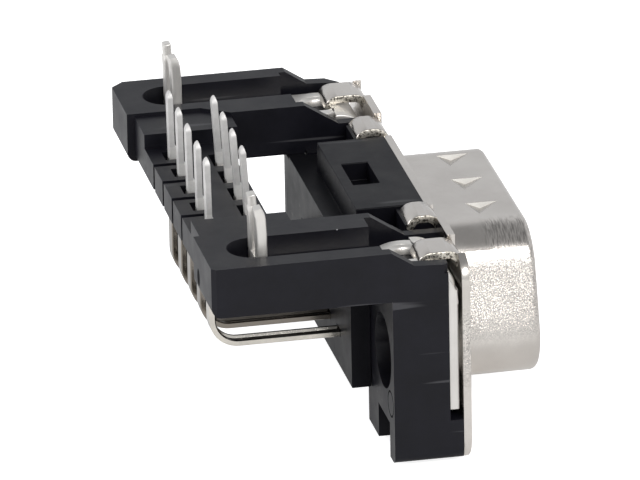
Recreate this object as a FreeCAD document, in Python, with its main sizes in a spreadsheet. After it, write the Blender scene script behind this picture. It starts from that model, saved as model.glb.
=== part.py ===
"""Nine-way d-sub plug, right angle, for a printed circuit board.

The part lies as in its photograph: the tails and the two board locks point up,
the shell's mouth points to -Y and the length runs along X.  Sizes are in
millimetres.  Every body is drawn from one reference point, the middle of the
flange's front face at the height of the circuit board, and its placement then
lowers it on to the floor.
"""
import os
import re

import FreeCAD
import Part
import Sketcher

os.makedirs("parts", exist_ok=True)
doc = FreeCAD.newDocument("dsub")

# Driving sizes
SIZES = {
    # steel shell: flange, skirt, folded ears and pressed dimples
    "flange_height": 12.55,
    "flange_thick": 0.48,
    "flange_corner": 1.6,
    "flange_top": -0.72,
    "flange_dip": 0.38,
    "hole_from_skirt": 3.495,
    "end_margin": 2.91,
    "hole_dia": 3.05,
    "skirt_depth": 5.65,
    "skirt_height": 9.16,
    "skirt_half": 9.0,
    "skirt_slant": 10.0,
    "skirt_wall": 0.4,
    "skirt_corner": 2.6,
    "skirt_root": 0.45,
    "rim_round": 0.35,
    "ear_width": 2.3,
    "outer_ear_shift": 0.385,
    "inner_ear_gap": 0.41,
    "ear_fold": 0.95,
    "ear_relief": 0.2,
    "ear_round": 0.4,
    "outer_ear_reach": 2.75,
    "inner_ear_reach": 2.2,
    "dimple_spacing": 3.93,
    "dimple_size": 1.9,
    "dimple_depth": 0.35,
    "dimple_setback": 3.45,
    "dimple_shift": 0.25,
    # contacts
    "pin_spacing": 2.77,
    "row_gap": 2.84,
    "pin_dia": 1.02,
    "pin_reach": 5.35,
    "pin_nose": 0.4,
    "pin_root": 2.2,
    "strip_width": 0.98,
    "strip_thick": 0.36,
    "strip_bend": 1.55,
    "strip_start": 1.9,
    "groove_width": 0.5,
    "groove_depth": 0.16,
    "tail_width": 0.6,
    "tail_thick": 0.38,
    "tail_top": 3.0,
    "tail_point": 0.45,
    "tail_root": -1.6,
    "rear_tail_y": 13.1,
    "tail_row_gap": 2.54,
    # insulators
    "front_side_gap": 0.8,
    "collar_step": 0.1,
    "face_reach": 0.8,
    "face_gap": 0.08,
    "front_rear_y": 2.2,
    "front_bottom": -11.35,
    "rear_face_y": 5.65,
    "rear_top": -2.8,
    "rear_bottom": -10.6,
    "block_top": -1.05,
    "block_rear_y": 4.5,
    "pocket_half": 1.7,
    "pocket_front_y": 2.3,
    "pocket_rear_y": 3.87,
    "pocket_depth": 1.1,
    "core_lap": 0.2,
    "play": 0.02,
    # bracket
    "arm_side": 2.495,
    "arm_rear_y": 14.87,
    "arm_thick": 2.95,
    "rib_gap": 0.65,
    "rib_thick": 0.7,
    "rail_thick": 0.8,
    "leg_gap": 0.05,
    "rib_rear_y": 8.9,
    "rib_blend": 1.6,
    "lane_step_y": 4.9,
    "ramp_start_y": 4.5,
    "rail_ramp_run": 1.3,
    "rail_drop": 0.86,
    "rail_nose_drop": 1.0,
    "rib_ramp_run": 2.0,
    "rib_drop": 1.3,
    "leg_rear_y": 4.5,
    "leg_bottom": -12.93,
    "leg_slot_top": -10.83,
    "slot_width": 3.1,
    "slot_end_y": 13.43,
    "slot_floor_end_y": 10.2,
    "bore_dia": 4.4,
    "bar_top": -1.05,
    "bar_bottom": -2.6,
    "bar_front_y": 9.6,
    "platform_top": -0.2,
    "teeth_margin": 1.46,
    "teeth_rear_y": 14.42,
    "slit_width": 0.4,
    "slit_front_y": 13.07,
    "rear_hole_width": 1.3,
    "front_hole_width": 1.9,
    "tail_hole_depth": 0.95,
    "far_corner_cut": 0.75,
    "near_corner_cut": 0.25,
    "leg_corner": 0.5,
    "leg_root": 0.2,
    # board locks and threaded inserts
    "strap_width": 2.9,
    "strap_thick": 0.55,
    "plate_inset": 0.41,
    "plate_front_y": 0.68,
    "plate_bottom": -10.0,
    "strap_bend": 1.5,
    "fork_bend": 0.4,
    "shoulder_y": 2.4,
    "eye_shift": 0.295,
    "eye_y": 3.0,
    "eye_radius": 1.8,
    "eye_hole": 0.92,
    "eye_bevel": 0.2,
    "fork_y": 11.65,
    "fork_top": 3.0,
    "fork_foot": 0.2,
    "fork_knee": 1.3,
    "fork_tip": 0.8,
    "far_lean": 0.38,
    "near_lean": 0.27,
    "prong_width": 0.85,
    "insert_length": 3.2,
    "insert_dia": 4.2,
    "insert_bore": 2.3,
}

# Sizes that follow from others, so that neighbours stay together: everything along
# the length hangs on the skirt's half width and on the spacing of the pins.
TIED = {
    "block_half": "=2 * pin_spacing",
    "teeth_half": "=2 * pin_spacing + teeth_margin",
    "inner_ear_x": "=2 * pin_spacing + inner_ear_gap + ear_width / 2",
    "front_half": "=skirt_half - front_side_gap",
    "rear_half": "=skirt_half + collar_step",
    "leg_inner": "=front_half + leg_gap",
    "rib_inner": "=front_half + rib_gap",
    "lane_inner": "=rib_inner + rib_thick",
    "hole_spacing": "=2 * (skirt_half + hole_from_skirt)",
    "outer_ear_x": "=hole_spacing / 2 + outer_ear_shift",
    "eye_x": "=hole_spacing / 2 - eye_shift",
    "arm_inner": "=hole_spacing / 2 - arm_side",
    "arm_outer": "=hole_spacing / 2 + end_margin",
    "lane_outer": "=arm_outer - rail_thick",
    "flange_length": "=2 * arm_outer",
    "plate_width": "=2 * (end_margin - plate_inset)",
}

sheet = doc.addObject("Spreadsheet::Sheet", "Sizes")
for row, (alias, content) in enumerate({**SIZES, **TIED}.items(), start=1):
    sheet.set("A%d" % row, alias)
    sheet.set("B%d" % row, str(content))
    sheet.setAlias("B%d" % row, alias)
doc.recompute()


def full(text):
    """Write a formula of plain size names as one that reads the sheet."""
    return re.sub(r"[a-z_]{3,}", lambda word: "Sizes." + word.group()
                  if word.group() in SIZES or word.group() in TIED else word.group(), text)


def value(text):
    """Number that a formula of size names gives."""
    return float(sheet.evalExpression(full(text)))


# Formulas shared by pieces that fit together
CENTRE_Z = "(flange_top - flange_height / 2)"
HOLE_X = "hole_spacing / 2"
WIDE_ROW_Z = "(flange_top - flange_height / 2 - row_gap / 2)"
NARROW_ROW_Z = "(flange_top - flange_height / 2 + row_gap / 2)"
FRONT_TAIL_Y = "(rear_tail_y - tail_row_gap)"
STRAP_TOP = "(flange_top - flange_thick - play)"
STRAP_BOTTOM = "(flange_top - flange_thick - play - strap_thick)"
PLATE_REAR_Y = "(plate_front_y + strap_thick)"
WIDE_ROW_X = ["%d * pin_spacing" % step for step in (2, 1, 0, -1, -2)]
NARROW_ROW_X = ["%s * pin_spacing" % step for step in (1.5, 0.5, -0.5, -1.5)]


def new_body(label):
    """Body placed so that the whole connector stands centred on the floor."""
    body = doc.addObject("PartDesign::Body", label)
    body.Label = label
    body.setExpression("Placement.Base.y", full("(skirt_depth - arm_rear_y) / 2"))
    body.setExpression("Placement.Base.z", full("flange_height - flange_top"))
    return body


def new_sketch(body, name, plane, offset=None):
    """Empty sketch on one of the body's own planes, moved along its normal."""
    sketch = body.newObject("Sketcher::SketchObject", name)
    support = [item for item in body.Origin.OriginFeatures if item.Role == plane][0]
    sketch.AttachmentSupport = (support, [""])
    sketch.MapMode = "FlatFace"
    if offset:
        sketch.setExpression("AttachmentOffset.Base.z", full(offset))
    return sketch


def bind(sketch, kind, size, *where):
    """Add one dimension to a sketch and tie it to the sheet."""
    index = sketch.addConstraint(Sketcher.Constraint(kind, *where, value(size)))
    sketch.setExpression("Constraints[%d]" % index, full(size))


def add_polygon(sketch, corners):
    """Closed polygon whose corners each keep their own two formulas."""
    points = [FreeCAD.Vector(value(u), value(v), 0) for u, v in corners]
    lines = [sketch.addGeometry(Part.LineSegment(start, end), False)
             for start, end in zip(points, points[1:] + points[:1])]
    for index, (u, v) in enumerate(corners):
        sketch.addConstraint(Sketcher.Constraint("Coincident", lines[index - 1], 2, lines[index], 1))
        bind(sketch, "DistanceX", u, lines[index], 1)
        bind(sketch, "DistanceY", v, lines[index], 1)


def add_box(sketch, left, right, low, high):
    """Rectangle in a sketch."""
    add_polygon(sketch, [(left, low), (right, low), (right, high), (left, high)])


def add_circle(sketch, u, v, radius):
    """Circle in a sketch."""
    centre = FreeCAD.Vector(value(u), value(v), 0)
    circle = sketch.addGeometry(Part.Circle(centre, FreeCAD.Vector(0, 0, 1), value(radius)), False)
    bind(sketch, "DistanceX", u, circle, 3)
    bind(sketch, "DistanceY", v, circle, 3)
    bind(sketch, "Radius", radius, circle)


def extrude(body, kind, name, sketch, length, side="One side", reverse=False):
    """Pad or pocket of a sketch."""
    feature = body.newObject("PartDesign::" + kind, name)
    feature.Profile = sketch
    feature.SideType = side
    feature.Reversed = reverse
    feature.setExpression("Length", full(length))
    sketch.Visibility = False
    doc.recompute()
    return feature


def dress_edges(body, kind, name, size, wanted):
    """Fillet or chamfer of the edges that the test picks on the newest feature."""
    base = body.Tip
    names = ["Edge%d" % number for number, edge in enumerate(base.Shape.Edges, start=1) if wanted(edge)]
    feature = body.newObject("PartDesign::" + kind, name)
    feature.Base = (base, names)
    feature.setExpression("Radius" if kind == "Fillet" else "Size", full(size))
    doc.recompute()
    return feature


def round_edges(body, name, radius, wanted):
    """Fillet of the edges that the test picks."""
    return dress_edges(body, "Fillet", name, radius, wanted)


def close(number, target):
    """True where two lengths agree within a hundredth of a millimetre."""
    return abs(number - target) < 0.01


def runs_along_y(edge):
    """True for a straight edge parallel to the mating direction."""
    box = edge.BoundBox
    return box.XLength < 0.001 and box.ZLength < 0.001


def runs_along_x(edge):
    """True for a straight edge parallel to the connector's length."""
    box = edge.BoundBox
    return box.YLength < 0.001 and box.ZLength < 0.001


def d_corners(inset):
    """Corners of the d outline: wide side away from the board, slanting flanks."""
    drop = "(skirt_height / 2 - %s)" % inset
    half_low = "(skirt_half - %s * (1 / cos(skirt_slant * 1deg) + tan(skirt_slant * 1deg)))" % inset
    half_high = "(%s - 2 * %s * tan(skirt_slant * 1deg))" % (half_low, drop)
    low = "%s - %s" % (CENTRE_Z, drop)
    high = "%s + %s" % (CENTRE_Z, drop)
    return [("-" + half_low, low), (half_low, low), (half_high, high), ("-" + half_high, high)]


def front_shell():
    """Drawn steel shell: flange with skirt, four folded ears and six dimples."""
    body = new_body("front_shell")
    plan = new_sketch(body, "flange_plan", "XZ_Plane")
    add_box(plan, "-flange_length / 2", "flange_length / 2", "flange_top - flange_height", "flange_top")
    extrude(body, "Pad", "flange", plan, "flange_thick", reverse=True)
    round_edges(body, "flange_corners", "flange_corner", runs_along_y)

    outer = new_sketch(body, "skirt_outline", "XZ_Plane", "-flange_thick / 2")
    add_polygon(outer, d_corners("0"))
    extrude(body, "Pad", "skirt", outer, "skirt_depth + flange_thick / 2")
    inner = new_sketch(body, "skirt_mouth", "XZ_Plane", "skirt_depth + 1")
    add_polygon(inner, d_corners("skirt_wall"))
    extrude(body, "Pocket", "mouth", inner, "skirt_depth + flange_thick + 2")
    round_edges(body, "mouth_corners", "skirt_corner - skirt_wall",
                lambda edge: runs_along_y(edge) and edge.BoundBox.YMax > value("flange_thick / 2")
                and edge.BoundBox.YMin < value("-skirt_depth / 2"))
    round_edges(body, "skirt_corners", "skirt_corner",
                lambda edge: runs_along_y(edge) and close(edge.BoundBox.YMax, 0)
                and close(edge.BoundBox.YMin, value("-skirt_depth")))
    round_edges(body, "skirt_root_bend", "skirt_root",
                lambda edge: close(edge.BoundBox.YMin, 0) and close(edge.BoundBox.YMax, 0)
                and edge.BoundBox.XMax < value("skirt_half + 0.1")
                and edge.BoundBox.XMin > value("-skirt_half - 0.1")
                and edge.BoundBox.ZMax < value(CENTRE_Z + " + skirt_height / 2 + 0.1")
                and edge.BoundBox.ZMin > value(CENTRE_Z + " - skirt_height / 2 - 0.1"))
    rim = [face for face in body.Tip.Shape.Faces if close(face.BoundBox.YMax, value("-skirt_depth"))][0]
    round_edges(body, "skirt_rim", "rim_round",
                lambda edge: any(edge.isSame(other) for other in rim.OuterWire.Edges))

    # Each ear rises out of the flange's plane and folds rearwards over the bracket.
    slots = new_sketch(body, "ear_slots", "XZ_Plane", "1")
    fold = "flange_top - ear_fold"
    for middle in ("outer_ear_x", "inner_ear_x", "-outer_ear_x", "-inner_ear_x"):
        add_box(slots, middle + " - ear_width / 2 - ear_relief", middle + " + ear_width / 2 + ear_relief",
                fold, "flange_top + 1")
    extrude(body, "Pocket", "ear_roots", slots, "flange_thick + 2")
    dip = new_sketch(body, "dip_outline", "XZ_Plane", "1")
    add_box(dip, "-inner_ear_x + ear_width / 2", "inner_ear_x - ear_width / 2",
            "flange_top - flange_dip", "flange_top + 1")
    extrude(body, "Pocket", "dip", dip, "flange_thick + 2")
    for name, x, reach in (("outer", "outer_ear_x", "outer_ear_reach"),
                           ("inner", "inner_ear_x", "inner_ear_reach")):
        for side, sign in (("far", ""), ("near", "-")):
            ear = new_sketch(body, "%s_ear_%s" % (side, name), "YZ_Plane", sign + x)
            add_polygon(ear, [("0", fold), ("0", "flange_top"), (reach, "flange_top"),
                              (reach, "flange_top - flange_thick"),
                              ("flange_thick", "flange_top - flange_thick"), ("flange_thick", fold)])
            extrude(body, "Pad", "%s_%s_ear" % (side, name), ear, "ear_width", side="Symmetric")
    round_edges(body, "ear_folds", "ear_fold - 0.01",
                lambda edge: runs_along_x(edge) and close(edge.BoundBox.XLength, value("ear_width"))
                and close(edge.BoundBox.ZMax, value("flange_top")) and close(edge.BoundBox.YMax, 0))
    round_edges(body, "ear_inner_folds", "ear_fold - flange_thick - 0.01",
                lambda edge: runs_along_x(edge) and close(edge.BoundBox.XLength, value("ear_width"))
                and close(edge.BoundBox.ZMax, value("flange_top - flange_thick"))
                and close(edge.BoundBox.YMax, value("flange_thick")))
    round_edges(body, "ear_tips", "ear_round",
                lambda edge: runs_along_x(edge) and close(edge.BoundBox.ZMax, value("flange_top"))
                and edge.BoundBox.YMin > value("inner_ear_reach - 0.1"))

    # Each dimple is sheared inwards: a recess outside and a matching swelling inside.
    for side, level, turn in (("board", CENTRE_Z + " + skirt_height / 2", ""),
                              ("far", CENTRE_Z + " - skirt_height / 2", "-")):
        for step in (-1, 0, 1):
            middle = "%d * dimple_spacing + dimple_shift" % step
            corners = [(middle + " + dimple_size / 2", "-dimple_setback - dimple_size / 2"),
                       (middle + " + dimple_size / 2", "-dimple_setback + dimple_size / 2"),
                       (middle + " - dimple_size / 2", "-dimple_setback")]
            tag = "%s_%d" % (side, step + 2)
            face = "%s - %sskirt_wall / 2" % (level, turn)
            bump = new_sketch(body, "bump_plan_" + tag, "XY_Plane", face)
            add_polygon(bump, corners)
            extrude(body, "Pad", "bump_" + tag, bump, "skirt_wall / 2 + dimple_depth",
                    reverse=(turn == ""))
            dent = new_sketch(body, "dent_plan_" + tag, "XY_Plane", level)
            add_polygon(dent, corners)
            extrude(body, "Pocket", "dent_" + tag, dent, "dimple_depth", reverse=(turn == "-"))

    holes = new_sketch(body, "fixing_holes", "XZ_Plane", "1")
    for sign in ("", "-"):
        add_circle(holes, sign + HOLE_X, CENTRE_Z, "hole_dia / 2")
    extrude(body, "Pocket", "holes", holes, "flange_thick + 2")
    return body


def contact(number, x, row_z, tail_y):
    """One stamped contact: round pin, formed strip bent up, flat pointed tail."""
    body = new_body("contact_%d" % number)
    nose = new_sketch(body, "pin_section", "YZ_Plane", x)
    radius = "pin_dia / 2"
    add_polygon(nose, [("-pin_reach", row_z),
                       ("-pin_reach", row_z + " + %s - pin_nose" % radius),
                       ("-pin_reach + pin_nose", row_z + " + " + radius),
                       ("pin_root", row_z + " + " + radius),
                       ("pin_root", row_z)])
    pin = body.newObject("PartDesign::Revolution", "pin")
    pin.Profile = nose
    pin.ReferenceAxis = (nose, ["Edge5"])
    nose.Visibility = False
    doc.recompute()

    path = new_sketch(body, "strip_path", "YZ_Plane", x)
    start = FreeCAD.Vector(value("strip_start"), value(row_z), 0)
    turn_y = value(tail_y + " - strip_bend")
    turn_z = value(row_z + " + strip_bend")
    run = path.addGeometry(Part.LineSegment(start, FreeCAD.Vector(turn_y, value(row_z), 0)), False)
    centre = FreeCAD.Vector(turn_y, turn_z, 0)
    circle = Part.Circle(centre, FreeCAD.Vector(0, 0, 1), value("strip_bend"))
    bend = path.addGeometry(Part.ArcOfCircle(circle, -1.5707963, 0.0), False)
    rise = path.addGeometry(Part.LineSegment(FreeCAD.Vector(value(tail_y), turn_z, 0),
                                             FreeCAD.Vector(value(tail_y), value("tail_root"), 0)), False)
    path.addConstraint(Sketcher.Constraint("Tangent", run, 2, bend, 1))
    path.addConstraint(Sketcher.Constraint("Tangent", bend, 2, rise, 1))
    path.addConstraint(Sketcher.Constraint("Horizontal", run))
    path.addConstraint(Sketcher.Constraint("Vertical", rise))
    bind(path, "DistanceX", "strip_start", run, 1)
    bind(path, "DistanceY", row_z, run, 1)
    bind(path, "Radius", "strip_bend", bend)
    bind(path, "DistanceX", tail_y, rise, 2)
    bind(path, "DistanceY", "tail_root", rise, 2)

    section = new_sketch(body, "strip_section", "XZ_Plane", "-strip_start")
    half = "strip_width / 2"
    groove = "groove_width / 2"
    top = row_z + " + strip_thick / 2"
    add_polygon(section, [(x + " - " + half, row_z + " - strip_thick / 2"),
                          (x + " + " + half, row_z + " - strip_thick / 2"),
                          (x + " + " + half, top),
                          (x + " + " + groove, top),
                          (x + " + %s - groove_depth / 2" % groove, top + " - groove_depth"),
                          (x + " - %s + groove_depth / 2" % groove, top + " - groove_depth"),
                          (x + " - " + groove, top),
                          (x + " - " + half, top)])
    strip = body.newObject("PartDesign::AdditivePipe", "strip")
    strip.Profile = section
    strip.Spine = (path, ["Edge1", "Edge2", "Edge3"])
    section.Visibility = False
    path.Visibility = False
    doc.recompute()

    side = new_sketch(body, "tail_side", "YZ_Plane", x)
    add_polygon(side, [(tail_y + " - tail_thick / 2", "tail_root - tail_width"),
                       (tail_y + " + tail_thick / 2", "tail_root - tail_width"),
                       (tail_y + " + tail_thick / 2", "tail_top - tail_point"),
                       (tail_y + " + tail_thick / 6", "tail_top"),
                       (tail_y + " - tail_thick / 6", "tail_top"),
                       (tail_y + " - tail_thick / 2", "tail_top - tail_point")])
    extrude(body, "Pad", "tail", side, "tail_width", side="Symmetric")
    point = new_sketch(body, "tail_point_cut", "XZ_Plane", "-(%s) + tail_thick" % tail_y)
    for sign in ("+", "-"):
        add_polygon(point, [(x + " %s tail_width / 2" % sign, "tail_top - tail_point"),
                            (x + " %s tail_width" % sign, "tail_top - tail_point"),
                            (x + " %s tail_width" % sign, "tail_top + 0.1"),
                            (x + " %s tail_width / 6" % sign, "tail_top + 0.1"),
                            (x + " %s tail_width / 6" % sign, "tail_top")])
    extrude(body, "Pocket", "tail_point_facets", point, "2 * tail_thick")
    return body


def front_insulator():
    """Moulded face that fills the skirt's root and holds the nine pins."""
    body = new_body("front_insulator")
    face = new_sketch(body, "face_outline", "XZ_Plane", "-flange_thick")
    add_polygon(face, d_corners("(skirt_wall + face_gap)"))
    extrude(body, "Pad", "face", face, "face_reach + flange_thick")
    round_edges(body, "face_corners", "skirt_corner - skirt_wall - face_gap", runs_along_y)
    plate = new_sketch(body, "plate_outline", "XZ_Plane", "-(flange_thick + play)")
    notch = "block_half + play"
    shelf = "rear_top - play"
    add_polygon(plate, [("-front_half", "front_bottom"), ("front_half", "front_bottom"),
                        ("front_half", STRAP_TOP), (notch, STRAP_TOP), (notch, shelf),
                        ("-(%s)" % notch, shelf), ("-(%s)" % notch, STRAP_TOP),
                        ("-front_half", STRAP_TOP)])
    extrude(body, "Pad", "plate", plate, "front_rear_y - flange_thick - play", reverse=True)
    round_edges(body, "plate_top_relief", "ear_fold - flange_thick - play",
                lambda edge: runs_along_x(edge) and close(edge.BoundBox.ZMax, value(STRAP_TOP))
                and close(edge.BoundBox.YMax, value("flange_thick + play")))
    core = new_sketch(body, "core_outline", "XZ_Plane", "-flange_thick")
    add_box(core, "-skirt_half / 2", "skirt_half / 2", CENTRE_Z + " - row_gap", CENTRE_Z + " + row_gap")
    extrude(body, "Pad", "core", core, "play + core_lap", reverse=True)
    holes = new_sketch(body, "pin_holes", "XZ_Plane", "face_reach + 1")
    for x in WIDE_ROW_X:
        add_circle(holes, x, WIDE_ROW_Z, "pin_dia / 2 + play")
    for x in NARROW_ROW_X:
        add_circle(holes, x, NARROW_ROW_Z, "pin_dia / 2 + play")
    extrude(body, "Pocket", "pin_passages", holes, "face_reach + front_rear_y + 2")
    return body


def rear_insulator():
    """Moulded carrier behind the flange, with the raised block and its pocket."""
    body = new_body("rear_insulator")
    core = new_sketch(body, "core_outline", "XZ_Plane", "-(front_rear_y + play)")
    add_box(core, "-front_half", "front_half", "rear_bottom", "rear_top")
    extrude(body, "Pad", "core", core, "rear_face_y - front_rear_y - play", reverse=True)
    collar = new_sketch(body, "collar_outline", "XZ_Plane", "-(leg_rear_y + play)")
    add_box(collar, "-rear_half", "rear_half", "rear_bottom", "-arm_thick - play")
    extrude(body, "Pad", "collar", collar, "rear_face_y - leg_rear_y - play", reverse=True)
    block = new_sketch(body, "block_plan", "XY_Plane", "block_top")
    add_box(block, "-block_half", "block_half", "flange_thick + play", "block_rear_y")
    extrude(body, "Pad", "block", block, "block_top - rear_top", reverse=True)
    seat = new_sketch(body, "block_root", "XY_Plane", "rear_top + core_lap")
    add_box(seat, "-block_half", "block_half", "front_rear_y + play", "block_rear_y")
    extrude(body, "Pad", "block_seat", seat, "2 * core_lap", reverse=True)
    pocket = new_sketch(body, "pocket_plan", "XY_Plane", "block_top")
    add_box(pocket, "-pocket_half", "pocket_half", "pocket_front_y", "pocket_rear_y")
    extrude(body, "Pocket", "pocket", pocket, "pocket_depth")

    slots = new_sketch(body, "strip_slots", "XZ_Plane", "-front_rear_y")
    half = "(strip_width / 2 + play)"
    rise = "(strip_thick / 2 + play)"
    for row_x, row_z in ((WIDE_ROW_X, WIDE_ROW_Z), (NARROW_ROW_X, NARROW_ROW_Z)):
        for x in row_x:
            add_box(slots, "%s - %s" % (x, half), "%s + %s" % (x, half),
                    "%s - %s" % (row_z, rise), "%s + %s" % (row_z, rise))
    extrude(body, "Pocket", "strip_passages", slots, "rear_face_y")
    return body


def bracket():
    """Moulded bracket: two arms with lock slots, a comb bar and two front legs."""
    body = new_body("bracket")
    arms = new_sketch(body, "arm_plan", "XY_Plane")
    for sign, cut in (("", "far_corner_cut"), ("-", "near_corner_cut")):
        corners = [("arm_inner", "arm_rear_y"), ("arm_outer - " + cut, "arm_rear_y"),
                   ("arm_outer", "arm_rear_y - " + cut),
                   ("arm_outer", PLATE_REAR_Y + " + play + " + cut),
                   ("arm_outer - " + cut, PLATE_REAR_Y + " + play"), ("arm_outer - " + cut, "flange_thick"),
                   ("rib_inner", "flange_thick"), ("rib_inner", "rib_rear_y"),
                   ("arm_inner", "rib_rear_y + rib_blend")]
        add_polygon(arms, [("%s(%s)" % (sign, u), v) for u, v in corners])
    extrude(body, "Pad", "arms", arms, "arm_thick", reverse=True)

    bar = new_sketch(body, "bar_plan", "XY_Plane", "bar_top")
    add_box(bar, "-teeth_half", "teeth_half", "bar_front_y", "teeth_rear_y")
    extrude(body, "Pad", "comb_bar", bar, "bar_top - bar_bottom", reverse=True)
    platforms = new_sketch(body, "platform_plan", "XY_Plane", "platform_top")
    for sign in ("", "-"):
        corners = [("teeth_half", "rib_rear_y"), ("arm_inner + play", "rib_rear_y"),
                   ("arm_inner + play", "teeth_rear_y"), ("teeth_half", "teeth_rear_y")]
        add_polygon(platforms, [("%s(%s)" % (sign, u), v) for u, v in corners])
    extrude(body, "Pad", "platforms", platforms, "platform_top - bar_bottom", reverse=True)

    leg = new_sketch(body, "leg_outline", "XZ_Plane", "-flange_thick")
    left_edge = "(%s - slot_width / 2)" % HOLE_X
    right_edge = "(%s + slot_width / 2)" % HOLE_X
    for sign in ("", "-"):
        corners = [("arm_outer", "-arm_thick / 2"), ("arm_outer", "leg_bottom"),
                   (right_edge, "leg_bottom"), (right_edge, "leg_slot_top"),
                   (left_edge, "leg_slot_top"), (left_edge, "leg_bottom"),
                   ("leg_inner", "leg_bottom"), ("leg_inner", "-arm_thick + leg_root"),
                   ("rib_inner", "-arm_thick + leg_root"), ("rib_inner", "-arm_thick / 2")]
        add_polygon(leg, [("%s(%s)" % (sign, u), v) for u, v in corners])
    extrude(body, "Pad", "legs", leg, "leg_rear_y - flange_thick", reverse=True)
    round_edges(body, "arm_ends", "leg_corner",
                lambda edge: runs_along_x(edge) and close(edge.BoundBox.ZMax, value("-arm_thick"))
                and close(edge.BoundBox.YMax, value("arm_rear_y")))
    round_edges(body, "leg_feet", "leg_corner",
                lambda edge: runs_along_y(edge) and close(edge.BoundBox.ZMax, value("leg_bottom"))
                and abs(edge.BoundBox.XMax) > value("arm_outer - 0.1"))

    window = new_sketch(body, "plate_windows", "XZ_Plane")
    for sign in ("", "-"):
        corners = [("%s - plate_width / 2 - play" % HOLE_X, "plate_bottom - 0.5"),
                   ("arm_outer + 1", "plate_bottom - 0.5"), ("arm_outer + 1", "1"),
                   ("%s - plate_width / 2 - play" % HOLE_X, "1")]
        add_polygon(window, [("%s(%s)" % (sign, u), v) for u, v in corners])
    extrude(body, "Pocket", "windows", window, PLATE_REAR_Y + " + play")

    lanes = new_sketch(body, "lock_lanes", "XY_Plane")
    wells = new_sketch(body, "lock_wells", "XY_Plane")
    ends = new_sketch(body, "lock_well_ends", "XY_Plane")
    for sign in ("", "-"):
        low = "%s%s - slot_width / 2" % (sign, HOLE_X)
        high = "%s%s + slot_width / 2" % (sign, HOLE_X)
        corners = [("lane_inner", "-1"), ("lane_outer", "-1"), ("lane_outer", "lane_step_y"),
                   (right_edge, "lane_step_y"), (right_edge, "slot_end_y - slot_width / 2"),
                   (left_edge, "slot_end_y - slot_width / 2"), (left_edge, "lane_step_y"),
                   ("lane_inner", "lane_step_y")]
        add_polygon(lanes, [("%s(%s)" % (sign, u), v) for u, v in corners])
        add_box(wells, low, high, "slot_floor_end_y", "slot_end_y - slot_width / 2")
        add_circle(ends, sign + HOLE_X, "slot_end_y - slot_width / 2", "slot_width / 2")
    extrude(body, "Pocket", "lanes", lanes, "-(%s) + play" % STRAP_BOTTOM)
    round_edges(body, "lane_fronts", "strap_bend - strap_thick - play",
                lambda edge: runs_along_x(edge) and close(edge.BoundBox.YMax, value(PLATE_REAR_Y + " + play"))
                and close(edge.BoundBox.ZMax, value(STRAP_BOTTOM + " - play")))
    extrude(body, "Pocket", "wells", wells, "2 * arm_thick")
    extrude(body, "Pocket", "well_ends", ends, "2 * arm_thick")

    # Outer rails and inner ribs slope down under the folded ears, the ribs further.
    rails = new_sketch(body, "rail_ramp_side", "YZ_Plane")
    add_polygon(rails, [("ramp_start_y", "0"), ("ramp_start_y - rail_ramp_run", "-rail_drop"),
                        ("0", "-rail_nose_drop"), ("0", "1"), ("ramp_start_y", "1")])
    extrude(body, "Pocket", "rail_ramps", rails, "flange_length + 10", side="Symmetric")
    ribs = new_sketch(body, "rib_ramp_side", "YZ_Plane")
    add_polygon(ribs, [("ramp_start_y", "0"), ("ramp_start_y - rib_ramp_run", "-rib_drop"),
                       ("0", "-rib_drop"), ("0", "1"), ("ramp_start_y", "1")])
    extrude(body, "Pocket", "rib_ramps", ribs, "lane_inner + lane_inner", side="Symmetric")

    bores = new_sketch(body, "leg_bores", "XZ_Plane")
    for sign in ("", "-"):
        add_circle(bores, sign + HOLE_X, CENTRE_Z, "bore_dia / 2")
    extrude(body, "Pocket", "bores", bores, "leg_rear_y + 1")

    tails = new_sketch(body, "tail_holes", "XY_Plane", "bar_top")
    for row_x, row_y, width in ((WIDE_ROW_X, "rear_tail_y", "rear_hole_width"),
                                (NARROW_ROW_X, FRONT_TAIL_Y, "front_hole_width")):
        for x in row_x:
            add_box(tails, "%s - %s / 2" % (x, width), "%s + %s / 2" % (x, width),
                    row_y + " - tail_hole_depth / 2", row_y + " + tail_hole_depth / 2")
    extrude(body, "Pocket", "tail_passages", tails, "bar_top - bar_bottom + 1")

    slits = new_sketch(body, "comb_slits", "XY_Plane", "bar_top")
    for x in NARROW_ROW_X:
        add_box(slits, x + " - slit_width / 2", x + " + slit_width / 2", "slit_front_y", "teeth_rear_y + 1")
    extrude(body, "Pocket", "slits", slits, "bar_top - bar_bottom + 1")
    return body


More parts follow.
